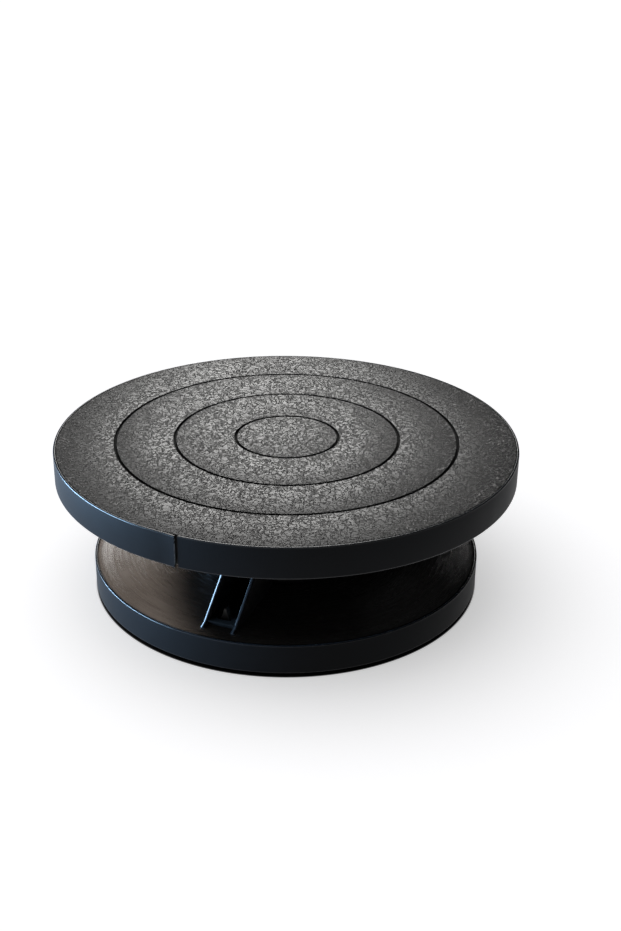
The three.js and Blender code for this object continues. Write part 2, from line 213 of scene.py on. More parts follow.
def rod(name, radius, bottom, top, at=0.0, angle=0.0, facets=SMALL, bevel=0.0):
    """A round bar standing at a distance and azimuth from the spin axis."""
    outline = rounded([(0, bottom, 0), (radius, bottom, bevel), (radius, top, bevel), (0, top, 0)])
    return turned(name, outline, facets, spot(at, angle))


def ribs(start, skirt, under):
    """Radial ribs that hang under a disc's plate and run out into its skirt."""
    width, depth = 1.6 * MM, 1.7 * MM
    return [block("rib", start, skirt + WELD, width, under - depth, under + WELD, bevel=0.3 * MM, turn=a)
            for a in RIB_ANGLES]


# ---- Materials ----------------------------------------------------------------------------------


class Finish:
    """A Principled material whose textures read the piece's own coordinates, in metres."""

    def __init__(self, name, color, roughness, metallic=0.0, specular=0.5):
        self.material = bpy.data.materials.new(name)
        self.material.use_nodes = True
        self.tree = self.material.node_tree
        self.shader = self.tree.nodes["Principled BSDF"]
        self.set("Base Color", (*color, 1))
        self.set("Roughness", roughness)
        self.set("Metallic", metallic)
        self.set("Specular IOR Level", specular)
        self.place = self.tree.nodes.new("ShaderNodeTexCoord").outputs["Object"]
        self.bumps = None

    def set(self, socket, value):
        self.shader.inputs[socket].default_value = value

    def link(self, output, socket):
        self.tree.links.new(output, socket)
        return output

    def math(self, operation, *values):
        node = self.tree.nodes.new("ShaderNodeMath")
        node.operation = operation
        for socket, value in zip(node.inputs, values):
            if isinstance(value, (int, float)):
                socket.default_value = value
            else:
                self.link(value, socket)
        return node.outputs[0]

    def noise(self, size, detail=2.0, rough=0.5, distortion=0.0, stretch=(1, 1, 1), place=None):
        """Noise whose blobs are about `size` metres across."""
        node = self.tree.nodes.new("ShaderNodeTexNoise")
        self.link(self.stretched(stretch, place), node.inputs["Vector"])
        node.inputs["Scale"].default_value = 1 / size
        node.inputs["Detail"].default_value = detail
        node.inputs["Roughness"].default_value = rough
        node.inputs["Distortion"].default_value = distortion
        return node.outputs[0]

    def stretched(self, stretch, place=None):
        if stretch == (1, 1, 1) and place is None:
            return self.place
        node = self.tree.nodes.new("ShaderNodeMapping")
        self.link(place or self.place, node.inputs["Vector"])
        node.inputs["Scale"].default_value = stretch
        return node.outputs[0]

    def polar(self):
        """A vector of distance from the spin axis, azimuth and height, then the distance and the height."""
        split = self.tree.nodes.new("ShaderNodeSeparateXYZ")
        self.link(self.place, split.inputs[0])
        x, y, z = split.outputs
        radius = self.math("SQRT", self.math("ADD", self.math("MULTIPLY", x, x), self.math("MULTIPLY", y, y)))
        angle = self.math("ARCTAN2", y, x)
        join = self.tree.nodes.new("ShaderNodeCombineXYZ")
        for output, socket in zip((radius, angle, z), join.inputs):
            self.link(output, socket)
        return join.outputs[0], radius, z

    def ramp(self, value, low, high, start=0.0, end=1.0, smooth=False):
        """Takes low..high to start..end, and holds the ends."""
        node = self.tree.nodes.new("ShaderNodeMapRange")
        node.interpolation_type = "SMOOTHSTEP" if smooth else "LINEAR"
        self.link(value, node.inputs["Value"])
        for socket, number in zip(node.inputs[1:5], (low, high, start, end)):
            socket.default_value = number
        return node.outputs["Result"]

    def color(self, factor, first, second):
        node = self.tree.nodes.new("ShaderNodeMix")
        node.data_type = "RGBA"
        self.link(factor, node.inputs["Factor"])
        for socket, value in zip((node.inputs[6], node.inputs[7]), (first, second)):
            socket.default_value = (*value, 1)
        self.link(node.outputs[2], self.shader.inputs["Base Color"])

    def roughness(self, factor, low, high):
        self.link(self.ramp(factor, 0, 1, low, high), self.shader.inputs["Roughness"])

    def bump(self, height, depth):
        """Raises the surface by up to `depth` metres where height is 1."""
        node = self.tree.nodes.new("ShaderNodeBump")
        node.inputs["Distance"].default_value = depth
        self.link(height, node.inputs["Height"])
        if self.bumps:
            self.link(self.bumps, node.inputs["Normal"])
        self.bumps = self.link(node.outputs[0], self.shader.inputs["Normal"])


def grained_plastic():
    """Black moulding whose top has a fine wrinkled texture; its ridges are coloured pale grey, a painted
    sheen, while their relief is real.
    """
    f = Finish("grained_plastic", (0.03, 0.03, 0.032), 0.5)
    _, _, height = f.polar()
    on_top = f.ramp(height, HEAD_TOP - 0.14 * MM, HEAD_TOP - 0.06 * MM)
    worms = []
    for size, stretch in ((2.0 * MM, (1.0, 0.75, 1)), (1.6 * MM, (0.9, 1.1, 1))):
        wander = f.noise(size, detail=1.0, rough=0.5, distortion=0.6, stretch=stretch)
        wrinkle = f.math("ABSOLUTE", f.math("SUBTRACT", wander, 0.5))
        worms.append(f.ramp(wrinkle, 0.0, 0.05, 1.0, 0.0, smooth=True))
    ridges = f.math("MAXIMUM", *worms)
    pebble = f.noise(1.0 * MM, detail=1.0, rough=0.5)
    grain_and_sheen = f.math("MULTIPLY", ridges, f.ramp(pebble, 0.3, 0.6, 0.25, 1.0))
    # Painted sheen: the ridges of the top's texture are coloured pale grey; their bumps are real.
    f.color(f.math("MULTIPLY", grain_and_sheen, on_top), (0.003, 0.003, 0.003), (0.23, 0.224, 0.221))
    f.roughness(f.noise(14 * MM, detail=3), 0.36, 0.48)
    f.bump(f.noise(30 * MM, detail=1), 0.12 * MM)
    f.bump(f.math("MULTIPLY", grain_and_sheen, on_top), 0.9 * MM)
    return f.material


def band_plastic():
    """Thin matt edging with a faint orange-peel skin and fine streaks along its length."""
    f = Finish("band_plastic", (0.004, 0.0045, 0.005), 0.5, specular=0.05)
    around, *_ = f.polar()
    streaks = f.noise(0.5 * MM, detail=2, stretch=(1, 0.012, 1), place=around)
    blotch = f.noise(9 * MM, detail=4, rough=0.6)
    f.color(blotch, (0.003, 0.0034, 0.004), (0.005, 0.0056, 0.0065))
    f.roughness(blotch, 0.44, 0.56)
    f.bump(streaks, 0.006 * MM)
    f.bump(f.noise(0.7 * MM, detail=2), 0.012 * MM)
    return f.material


def edge_plastic():
    """The bands' rounded edges and the fins' planed edges, rubbed smooth and a little paler."""
    f = Finish("edge_plastic", (0.01, 0.011, 0.012), 0.25, specular=0.22)
    wear = f.noise(5 * MM, detail=5, rough=0.65)
    f.color(wear, (0.004, 0.0045, 0.005), (0.010, 0.011, 0.013))
    f.roughness(wear, 0.18, 0.34)
    f.bump(f.noise(0.8 * MM, detail=2), 0.01 * MM)
    return f.material


def cut_plastic():
    """The sawn end of the band, dull, with a pale painted highlight along its outer corner that is broken in
    places.
    """
    f = Finish("cut_plastic", (0.01, 0.011, 0.012), 0.6, specular=0.1)
    _, radius, _ = f.polar()
    painted_glint = f.ramp(radius, HEAD_R - 0.25 * MM, HEAD_R + 0.1 * MM)
    broken = f.ramp(f.noise(1.6 * MM, detail=2), 0.42, 0.56)
    # Painted highlight: a pale bluish line along the outer corner of the cut end.
    f.color(f.math("MULTIPLY", painted_glint, broken), (0.003, 0.0035, 0.004), (0.16, 0.19, 0.22))
    saw = f.noise(0.5 * MM, detail=3, stretch=(1, 1, 4))
    f.roughness(saw, 0.5, 0.7)
    f.bump(saw, 0.05 * MM)
    return f.material


def painted_shade_plastic():
    """Painted shade: a near-black, dull copy of the black plastic for groove walls, arm floors and the base
    plate's outer corner.
    """
    f = Finish("painted_shade_plastic", (0.003, 0.003, 0.003), 0.7, specular=0.05)
    mottle = f.noise(1.2 * MM, detail=3)
    # Painted shade: the colour is near black, far darker than the plastic that it stands in.
    f.color(mottle, (0.002, 0.002, 0.002), (0.005, 0.005, 0.005))
    f.roughness(mottle, 0.6, 0.8)
    f.bump(mottle, 0.01 * MM)
    return f.material


def turned_plastic():
    """Smooth black moulding whose flat carries the fine turned rings of its mould."""
    f = Finish("turned_plastic", (0.02, 0.02, 0.02), 0.3, specular=0.28)
    around, *_ = f.polar()
    rings = f.noise(0.34 * MM, detail=3, rough=0.6, stretch=(1, 0.0016, 1), place=around)
    arcs = f.noise(1.3 * MM, detail=2, stretch=(1, 0.004, 1), place=around)
    dust = f.noise(11 * MM, detail=4, rough=0.65)
    film = f.math("ADD", f.math("MULTIPLY", arcs, 0.7), f.math("MULTIPLY", dust, 0.3))
    f.color(f.ramp(film, 0.3, 0.7), (0.019, 0.018, 0.017), (0.028, 0.027, 0.026))
    f.roughness(f.math("ADD", f.math("MULTIPLY", rings, 0.5), f.math("MULTIPLY", dust, 0.5)), 0.20, 0.30)
    f.bump(arcs, 0.02 * MM)
    f.bump(rings, 0.03 * MM)
    return f.material


def moulded_plastic():
    """Black moulding with a faint spark-eroded skin and flow marks."""
    f = Finish("moulded_plastic", (0.010, 0.010, 0.011), 0.4)
    flow = f.noise(7 * MM, detail=4, rough=0.6, stretch=(1, 1, 0.4))
    f.color(flow, (0.007, 0.007, 0.008), (0.016, 0.016, 0.017))
    f.roughness(flow, 0.26, 0.40)
    f.bump(f.noise(0.35 * MM, detail=2), 0.008 * MM)
    return f.material


def nylon():
    """Off-white bearing nylon, slightly translucent."""
    f = Finish("bearing_nylon", (0.55, 0.5, 0.4), 0.45)
    f.set("Subsurface Weight", 0.2)
    f.set("Subsurface Radius", (0.002, 0.0015, 0.001))
    tone = f.noise(3 * MM, detail=3)
    f.color(tone, (0.50, 0.46, 0.37), (0.60, 0.56, 0.46))
    f.roughness(tone, 0.38, 0.52)
    f.bump(f.noise(0.4 * MM, detail=2), 0.01 * MM)
    return f.material


def steel(name, color, low, high, lay):
    """Bare metal. lay is the size of its fine marks, which run round the spin axis."""
    f = Finish(name, color, low, metallic=1.0)
    around, *_ = f.polar()
    marks = f.noise(lay, detail=3, stretch=(1, 0.01, 1), place=around)
    film = f.noise(4 * MM, detail=3)
    f.color(film, tuple(c * 0.82 for c in color), color)
    f.roughness(f.math("ADD", f.math("MULTIPLY", marks, 0.6), f.math("MULTIPLY", film, 0.4)), low, high)
    f.bump(marks, 0.003 * MM)
    return f.material


def rubber():
    """Black rubber with dust in its skin."""
    f = Finish("foot_rubber", (0.014, 0.014, 0.014), 0.75, specular=0.3)
    dust = f.noise(2.5 * MM, detail=4, rough=0.7)
    f.color(dust, (0.010, 0.010, 0.010), (0.030, 0.029, 0.027))
    f.roughness(dust, 0.65, 0.9)
    f.bump(f.noise(0.5 * MM, detail=3), 0.03 * MM)
    return f.material


FINISHES = {
    "head_plastic": grained_plastic(),
    "band_plastic": band_plastic(),
    "edge_plastic": edge_plastic(),
    "cut_plastic": cut_plastic(),
    "painted_shade_plastic": painted_shade_plastic(),
    "black_plastic": moulded_plastic(),
    "turned_plastic": turned_plastic(),
    "bearing_nylon": nylon(),
    "bearing_steel": steel("bearing_steel", (0.58, 0.59, 0.60), 0.08, 0.22, 0.2 * MM),
    "zinc_steel": steel("zinc_steel", (0.50, 0.51, 0.53), 0.25, 0.45, 0.5 * MM),
    "foot_rubber": rubber(),
}


def settle(piece, body, nodes, slot, finish=None):
    """Gives a piece its finish (slot's, unless finish is given) and its body, and hides the CAD nodes that it
    stands for.
    """
    piece.data.materials.clear()
    piece.data.materials.append(FINISHES[finish or slot])
    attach(piece, body)
    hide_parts(*([nodes] if isinstance(nodes, str) else nodes))
    return piece


def touch_up(piece, finish, chosen):
    """Gives another finish to the faces for which chosen(centre, normal) is true."""
    piece.data.materials.append(FINISHES[finish])
    for face in piece.data.polygons:
        if chosen(face.center, face.normal):
            face.material_index = len(piece.data.materials) - 1


# ---- Wheel head ---------------------------------------------------------------------------------


def groove(radius, top, half=0.45 * MM, depth=0.75 * MM, lip=0.08 * MM):
    """Outline points, from the outside in, of a round-bottomed groove."""
    wall = depth - half * 0.6
    points = [(radius + half, top, lip), (radius + half, top - wall, 0)]
    points += [(radius + half * math.cos(a), top - wall - half * 0.6 * math.sin(a), 0)
               for a in (math.radians(45), math.radians(90), math.radians(135))]
    return points + [(radius - half, top - wall, 0), (radius - half, top, lip)]


def head_disc():
    """The plate with its ring grooves, skirt, dust collar, under-ribs and pilots for the flange screws."""
    seat = span("spindle")[2] + SEAT_GAP
    under = HEAD_TOP - 3.4 * MM
    collar_in, collar_out = 24.2 * MM, 26.4 * MM
    skirt = DISC_R - SKIRT_THICKNESS
    skirt_bottom = RIM_BOTTOM + 0.3 * MM
    soft = 0.4 * MM
    outline = [(0, seat, 0), (collar_in, seat, soft), (collar_in, DUST_BOTTOM, soft),
               (collar_out, DUST_BOTTOM, soft), (collar_out, under, PLATE_FILLET),
               (skirt, under, PLATE_FILLET), (skirt, skirt_bottom, soft),
               (DISC_R, skirt_bottom, soft), (DISC_R, HEAD_TOP, 0.25 * MM)]
    for radius in reversed(RING_RADII):
        outline += groove(radius, HEAD_TOP)
    outline += [(0, HEAD_TOP, 0)]
    disc = turned("wheel_head", rounded(outline))
    join_to(disc, *ribs(collar_out - WELD, skirt, under))
    pilots = []
    for i in range(1, 5):
        at, angle, _, _, top = middle(f"flange_screw_{i}")
        pilots.append(rod("pilot", PILOT_RADIUS, seat - SPARE, top + 0.2 * MM, at, angle))
    cut_from(disc, *pilots)
    settle(disc, "head", "head_disc", "head_plastic")
    skin, groove_reach = 0.003 * MM, 0.7 * MM

    def in_groove(centre, _):
        return under < centre.z < HEAD_TOP - skin and any(
            abs(centre.xy.length - ring) < groove_reach for ring in RING_RADII)

    # Painted shade: the groove walls and bottoms get the near-black finish.
    touch_up(disc, "painted_shade_plastic", in_groove)
    return disc


def band(name, node, body, radius, bottom, top, seam, gap, lift, top_round):
    """An edge band that starts just after its seam and comes back to it with its last end standing proud."""
    edge, low_round = 0.22 * MM, 0.45 * MM
    lifted_length = 5.5 * MM
    stations = FINE * 2
    inner = radius - BAND_THICKNESS
    outline = rounded([(inner, bottom, edge), (radius, bottom, low_round), (radius, top, top_round),
                       (inner, top, edge)], steps=5)
    half = gap / 2 / radius
    start, end = seam + half, seam + 2 * math.pi - half
    lifted = lifted_length / radius
    sections = []
    for k in range(stations + 1):
        a = start + (end - start) * k / stations
        rise = max(0.0, 1 - (end - a) / lifted) ** 2 * lift
        sections.append([((r + rise) * math.cos(a), (r + rise) * math.sin(a), z) for r, z in outline])
    piece = settle(swept(name, sections, closed=False), body, node, "band_plastic")
    touch_up(piece, "edge_plastic", lambda centre, _: not bottom + low_round < centre.z < top - top_round)
    piece.data.materials.append(FINISHES["cut_plastic"])
    for face in piece.data.polygons:
        if len(face.vertices) > 4:  # only the two cut ends have more than four corners
            face.material_index = len(piece.data.materials) - 1


def screw(name, node, shank, body):
    """A pan-head screw that points up, with a cross recess and a ridged thread on its shank."""
    at, angle, half, bottom, top = middle(node)
    head_top = bottom + half * 0.66
    outline = [(0, bottom, 0), (half * 0.55, bottom, half * 0.4),
               (half, bottom + (head_top - bottom) * 0.55, 0.15 * MM),
               (half, head_top, 0.1 * MM), (shank * 0.86, head_top, 0)]
    pitch, point_length, core = 0.8 * MM, 1.2 * MM, shank * 0.8
    z = head_top + pitch
    while z < top - point_length:
        outline += [(core, z - pitch * 0.25, 0), (shank, z, 0), (core, z + pitch * 0.25, 0)]
        z += pitch
    outline += [(shank * 0.78, top - 1.0 * MM, 0), (shank * 0.3, top, 0.1 * MM), (0, top, 0)]
    place = spot(at, angle)
    piece = turned(name, rounded(outline), SMALL, place)
    slots = []
    for turn in (0, math.pi / 2):
        cutter = block("slot", -half * 0.5, half * 0.5, half * 0.2, bottom - 0.5 * MM, bottom + half * 0.35,
                       turn=turn)
        cutter.data.transform(Matrix.Translation((*place, 0)))
        slots.append(cutter)
    cut_from(piece, *slots)
    settle(piece, body, node, "zinc_steel")


def spindle():
    """The shaft with its flange, the spigot that centres the races and a blind hole for the last screw."""
    flange, bottom, top = span("spindle")
    flange_bottom = top - 1.6 * MM
    spigot_bottom = flange_bottom - 1 * MM
    shaft, spigot, bore = 4 * MM, 8.2 * MM, 1.8 * MM
    hole_top = bottom + 10 * MM
    soft = 0.25 * MM
    outline = [(0, hole_top, 0), (bore, hole_top, 0), (bore, bottom, 0), (shaft, bottom, 0.5 * MM),
               (shaft, spigot_bottom, 0.4 * MM), (spigot, spigot_bottom, soft),
               (spigot, flange_bottom, soft), (flange, flange_bottom, soft), (flange, top, soft), (0, top, 0)]
    piece = turned("spindle_flange", rounded(outline), MEDIUM)
    holes = []
    for i in range(1, 5):
        at, angle, *_ = middle(f"flange_screw_{i}")
        holes.append(rod("hole", PILOT_RADIUS, flange_bottom - SPARE, top + SPARE, at, angle))
    settle(cut_from(piece, *holes), "head", "spindle", "zinc_steel")


def race(name, node, body, groove_up):
    """A hardened washer with a round ball track in the face that looks at the balls."""
    outer, low, high = span(node)
    inner, track = 8.5 * MM, 2.8 * MM
    half_steps = 6
    face, back, sign = (high, low, -1) if groove_up else (low, high, 1)
    start = math.acos(abs(BALL_HEIGHT - face) / track)
    arc = []
    for k in range(2 * half_steps + 1):
        a = start * (1 - k / half_steps)
        arc.append((BALL_CIRCLE + track * math.sin(a), BALL_HEIGHT + sign * track * math.cos(a), 0))
    soft = 0.3 * MM
    outline = [(inner, back, soft), (outer, back, soft), (outer, face, soft), *arc, (inner, face, soft)]
    settle(turned(name, rounded(outline), MEDIUM), body, node, "bearing_steel")


def flat_ring(name, node, inner, soft):
    """A washer as wide and as tall as its node."""
    outer, low, high = span(node)
    outline = [(inner, low, soft), (outer, low, soft), (outer, high, soft), (inner, high, soft)]
    return turned(name, rounded(outline), MEDIUM)


def cage_and_balls():
    """The nylon separator with a pocket for each ball, and the balls."""
    _, low, high = span("ball_cage")
    cage = flat_ring("ball_separator", "ball_cage", 9.3 * MM, 0.3 * MM)
    pockets = []
    for i in range(1, BALL_COUNT + 1):
        node = f"ball_{i:02d}"
        _, angle, half, ball_low, ball_high = middle(node)
        pockets.append(rod("pocket", half + 0.25 * MM, low - SPARE, high + SPARE, BALL_CIRCLE, angle))
        bm = bmesh.new()
        bmesh.ops.create_icosphere(bm, subdivisions=4, radius=BALL_RADIUS)
        bmesh.ops.translate(bm, verts=bm.verts, vec=(*spot(BALL_CIRCLE, angle), (ball_low + ball_high) / 2))
        settle(new_object(f"bearing_ball_{i:02d}", bm), "cage", node, "bearing_steel")
    settle(cut_from(cage, *pockets), "cage", "ball_cage", "bearing_nylon")


# ---- Pedestal -----------------------------------------------------------------------------------

TOE_START, TOE_REACH = 56.4 * MM, 59.2 * MM
TOE_HEIGHT, NOSE_HEIGHT = 1.25 * MM, 0.4 * MM
FIN_SLOPE = 0.685  # fall of a fin's upper edge from the hub to its toe
FIN_OFFSET, FIN_THICKNESS = 4.9 * MM, 1.3 * MM
HOLLOW_R = 17 * MM
ARM_START = HOLLOW_R + 1 * MM  # arms start inside the hub's wall
WEB_BOTTOM = 28 * MM


def fin(angle, across):
    """A sloping fin whose long upper edges are planed off at a little under 45 degrees."""
    chamfer, drop = 0.45 * MM, 0.47 * MM
    half = FIN_THICKNESS / 2
    sections = []
    for offset, lowered in ((-half, drop), (chamfer - half, 0), (half - chamfer, 0), (half, drop)):
        toe_top = PEDESTAL_BOTTOM + TOE_HEIGHT - lowered
        nose = PEDESTAL_BOTTOM + NOSE_HEIGHT - lowered * 0.6
        top_at = TOE_START - (PEDESTAL_TOP - toe_top) / FIN_SLOPE
        outline = [(ARM_START, PEDESTAL_BOTTOM), (TOE_REACH, PEDESTAL_BOTTOM), (TOE_REACH, nose),
                   (TOE_START, toe_top), (top_at, PEDESTAL_TOP), (ARM_START, PEDESTAL_TOP)]
        turn = Matrix.Rotation(angle, 3, "Z")
        sections.append([turn @ Vector((r, across + offset, z)) for r, z in outline])
    return swept("fin", sections, closed=False)


def arm(angle):
    """Two fins either side of a floor with a slot in it, as separate solids ready to be joined."""
    fins = [fin(angle, side * FIN_OFFSET) for side in (-1, 1)]
    floor_top = PEDESTAL_BOTTOM + 1.2 * MM
    floor = block("arm_floor", ARM_START + 1 * MM, TOE_START, 2 * FIN_OFFSET, PEDESTAL_BOTTOM, floor_top,
                  bevel=0.2 * MM, turn=angle)
    window = block("window", 49.6 * MM, 54.2 * MM, 4.4 * MM, PEDESTAL_BOTTOM - SPARE, floor_top + SPARE,
                   turn=angle)
    return [cut_from(floor, window), *fins]


def pedestal():
    """The tapered hub on its flange, with three arms and a screw boss in each bay between them."""
    low_r, top_r, flange_r = 21 * MM, 19 * MM, 27.5 * MM
    flange_top = PEDESTAL_BOTTOM + 2 * MM
    bore = 6.3 * MM
    outline = [(bore, WEB_BOTTOM, 0), (HOLLOW_R, WEB_BOTTOM, 1 * MM), (HOLLOW_R, PEDESTAL_BOTTOM, 0.3 * MM),
               (flange_r, PEDESTAL_BOTTOM, 0.3 * MM), (flange_r, flange_top, 0.7 * MM),
               (low_r, flange_top, 1 * MM), (top_r, PEDESTAL_TOP, 0.6 * MM), (bore, PEDESTAL_TOP, 0.2 * MM)]
    piece = turned("pedestal_spider", rounded(outline), FINE // 2)
    bosses = [rod("boss", 3.4 * MM, PEDESTAL_BOTTOM + 0.2 * MM, PEDESTAL_BOTTOM + 11.5 * MM, 23.8 * MM, a,
                  bevel=0.5 * MM)
              for a in BAY_ANGLES]
    join_to(piece, *bosses, *(solid for a in ARM_ANGLES for solid in arm(a)))
    inside = rod("hollow", HOLLOW_R - 0.02 * MM, PEDESTAL_BOTTOM - SPARE, WEB_BOTTOM - 1.2 * MM,
                 facets=FINE // 2)
    pilots = []
    for i in range(1, 4):
        at, angle, _, _, top = middle(f"pedestal_screw_{i}")
        pilots.append(rod("pilot", PILOT_RADIUS, PEDESTAL_BOTTOM - SPARE, top + 0.3 * MM, at, angle))
    cut_from(piece, inside, *pilots)
    settle(piece, "base", "pedestal", "black_plastic")

    def on_chamfer(_, normal):
        """True for a face that leans both sideways from an arm and up from the slope of its fins."""
        for a in ARM_ANGLES:
            sideways = Vector((-math.sin(a), math.cos(a), 0))
            slope_up = Vector((FIN_SLOPE * math.cos(a), FIN_SLOPE * math.sin(a), 1)).normalized()
            if normal.dot(sideways) ** 2 > 0.3 and normal.dot(slope_up) > 0.55:
                return True
        return False

    def between_fins(centre, _):
        hub_reach, half_width = 30 * MM, 4.2 * MM
        return centre.xy.length > hub_reach and any(
            abs(centre.y * math.cos(a) - centre.x * math.sin(a)) < half_width for a in ARM_ANGLES)

    touch_up(piece, "edge_plastic", on_chamfer)
    # Painted shade: the floors and faces between each arm's fins get the near-black finish.
    touch_up(piece, "painted_shade_plastic", between_fins)
    return piece


def bush(name, node, flange_up):
    """A flanged nylon sleeve that the spindle runs in."""
    outer, low, high = span(node)
    bore, sleeve, flange = 4.15 * MM, 6 * MM, 1 * MM
    soft = 0.25 * MM
    if flange_up:
        outline = [(bore, low, soft), (sleeve, low, soft), (sleeve, high - flange, 0),
                   (outer, high - flange, soft), (outer, high, soft), (bore, high, soft)]
    else:
        outline = [(bore, low, soft), (outer, low, soft), (outer, low + flange, soft),
                   (sleeve, low + flange, 0), (sleeve, high, soft), (bore, high, soft)]
    settle(turned(name, rounded(outline), MEDIUM), "base", node, "bearing_nylon")


# ---- Base ---------------------------------------------------------------------------------------


def ring_turned_floor(outer, inner, level):
    """Outline points of a flat whose turning marks rise and fall by a few hundredths of a millimetre."""
    marks = random.Random(11)
    pitch, depth = 0.42 * MM, 0.018
    count = int((outer - inner) / pitch)
    points = []
    for k in range(count):
        radius = outer - pitch * (k + 0.5)
        points.append((radius, level + marks.uniform(-depth, depth) * MM, 0))
    return points


def tooth(angle, floor):
    """A locating tooth that stands up through the slot in an arm's floor."""
    half_width, half_tip, depth = 1.5 * MM, 0.3 * MM, 2.6 * MM
    root, shoulder, tip = floor - WELD, floor + 0.4 * MM, floor + 4.5 * MM
    outline = [(-half_width, root), (half_width, root), (half_width, shoulder), (half_tip, tip),
               (-half_tip, tip), (-half_width, shoulder)]
    piece = slab("tooth", outline, depth, bevel=0.15 * MM)
    piece.data.transform(Matrix.Rotation(angle, 4, "Z") @ Matrix.Translation((51.9 * MM, 0, 0))
                         @ Matrix.Rotation(math.pi / 2, 4, "Z"))
    return piece


def base_disc():
    """The plate with its shallow recess, skirt, collar, ribs, foot bosses and locating teeth."""
    floor = PEDESTAL_BOTTOM - SEAT_GAP
    plate_top = BASE_TOP - 0.1 * MM
    under = BASE_TOP - 2.6 * MM
    opening, collar = 16 * MM, 17.6 * MM
    collar_bottom = BASE_TOP - 5.5 * MM
    skirt = BASE_DISC_R - SKIRT_THICKNESS
    recess = 60 * MM
    soft = 0.3 * MM
    outline = [(opening, collar_bottom, soft), (collar, collar_bottom, soft), (collar, under, soft),
               (skirt, under, PLATE_FILLET), (skirt, SKIRT_BOTTOM, soft), (BASE_DISC_R, SKIRT_BOTTOM, soft),
               (BASE_DISC_R, plate_top, 0.35 * MM), (recess + 1.2 * MM, plate_top, 0),
               (recess - 1.6 * MM, floor, 0)]
    outline += ring_turned_floor(recess - 1.8 * MM, 26 * MM, floor)
    outline += [(opening, floor, soft)]
    piece = turned("base_moulding", rounded(outline), smooth_below=60)
    extras = ribs(32 * MM, skirt, under)
    sockets = []
    for i in range(1, 5):
        at, angle, *_ = middle(f"foot_{i}")
        extras.append(rod("foot_boss", 7.4 * MM, 3.2 * MM, under + WELD, at, angle, facets=64,
                          bevel=0.4 * MM))
        sockets.append(rod("socket", 2.5 * MM, 2.2 * MM, 6.9 * MM, at, angle))
    extras += [tooth(a, floor) for a in ARM_ANGLES]
    join_to(piece, *extras)
    for i in range(1, 4):
        at, angle, *_ = middle(f"pedestal_screw_{i}")
        sockets.append(rod("screw_hole", 2 * MM, under - 2 * MM, floor + SPARE, at, angle))
    combine(piece, sockets, "DIFFERENCE", smooth_below=60)
    settle(piece, "base", "base_disc", "black_plastic", finish="turned_plastic")
    corner = BASE_DISC_R - 0.4 * MM
    # Painted shade: the plate's outer corner beside the band gets the near-black finish, a dark line at the
    # joint.
    touch_up(piece, "painted_shade_plastic", lambda centre, _: centre.z > under and centre.xy.length > corner)
    return piece


def foot(i):
    """A rubber foot with a ringed tread and a stem pushed into the base's boss."""
    node = f"foot_{i}"
    at, angle, radius, low, high = middle(node)
    pad = low + 2.9 * MM
    stem = 2.2 * MM
    hollow = low + 0.3 * MM
    soft = 0.1 * MM
    outline = [(0, hollow, 0), (1.6 * MM, hollow, soft), (1.8 * MM, low, soft), (3.2 * MM, low, soft),
               (3.4 * MM, hollow, soft), (3.9 * MM, hollow, soft), (4.1 * MM, low, soft),
               (radius - 0.2 * MM, low, 0.5 * MM), (radius, pad, 0.35 * MM), (stem, pad, 0.2 * MM),
               (stem, high - 0.8 * MM, 0), (stem + 0.15 * MM, high - 0.5 * MM, soft),
               (stem * 0.6, high, 0.2 * MM), (0, high, 0)]
    settle(turned(f"rubber_foot_{i}", rounded(outline), 64, spot(at, angle)), "base", node, "foot_rubber")


wheel_head = head_disc()
band("head_edge_band", "head_band", "head", HEAD_R, RIM_BOTTOM, HEAD_TOP, HEAD_SEAM,
     gap=0.9 * MM, lift=0.45 * MM, top_round=0.35 * MM)
spindle()
race("thrust_race_upper", "upper_race", "head", groove_up=False)
race("thrust_race_lower", "lower_race", "base", groove_up=True)
settle(flat_ring("retaining_ring", "retaining_washer", 1.9 * MM, 0.25 * MM), "head", "retaining_washer",
       "zinc_steel")
screw("retaining_bolt", "retaining_screw", 1.5 * MM, "head")
for number in range(1, 5):
    screw(f"spindle_screw_{number}", f"flange_screw_{number}", 1.4 * MM, "head")
    foot(number)
for number in range(1, 4):
    screw(f"foot_plate_screw_{number}", f"pedestal_screw_{number}", 1.4 * MM, "base")
cage_and_balls()
spider = pedestal()
bush("spindle_bush_upper", "upper_bush", flange_up=True)
bush("spindle_bush_lower", "lower_bush", flange_up=False)
base_moulding = base_disc()
band("base_edge_band", "base_band", "base", BASE_R, BAND_BOTTOM, BASE_TOP, BASE_SEAM,
     gap=0.4 * MM, lift=0.1 * MM, top_round=0.3 * MM)

# ---- Studio -------------------------------------------------------------------------------------


def floor():
    """A pale floor that glows a little; under the base it is painted dark and unlit, a painted contact
    shadow.
    """
    bm = bmesh.new()
    bmesh.ops.create_grid(bm, x_segments=8, y_segments=8, size=4)
    ground = new_object("studio_floor", bm)
    f = Finish("studio_floor", (0.8, 0.8, 0.82), 0.9, specular=0.0)
    _, radius, _ = f.polar()
    edge = BASE_R - 0.2 * MM
    outside_painted_shadow = f.ramp(radius, edge, edge + 0.5 * MM)
    # Painted shadow: the floor is near black and has no glow under the base.
    f.color(outside_painted_shadow, (0.02, 0.02, 0.02), (0.82, 0.82, 0.84))
    f.set("Emission Color", (1, 1, 1, 1))
    f.link(f.ramp(outside_painted_shadow, 0, 1, 0.0, 0.5), f.shader.inputs["Emission Strength"])
    ground.data.materials.append(f.material)
    return ground


def keep_off(lamp, *pieces):
    """Shades pieces from a lamp, as a card clipped to the lamp would."""
    shaded = bpy.data.collections.new(f"{lamp.name}_shade")
    for piece in pieces:
        shaded.objects.link(piece)
    for shade in shaded.collection_objects:
        shade.light_linking.link_state = "EXCLUDE"
    lamp.light_linking.receiver_collection = shaded


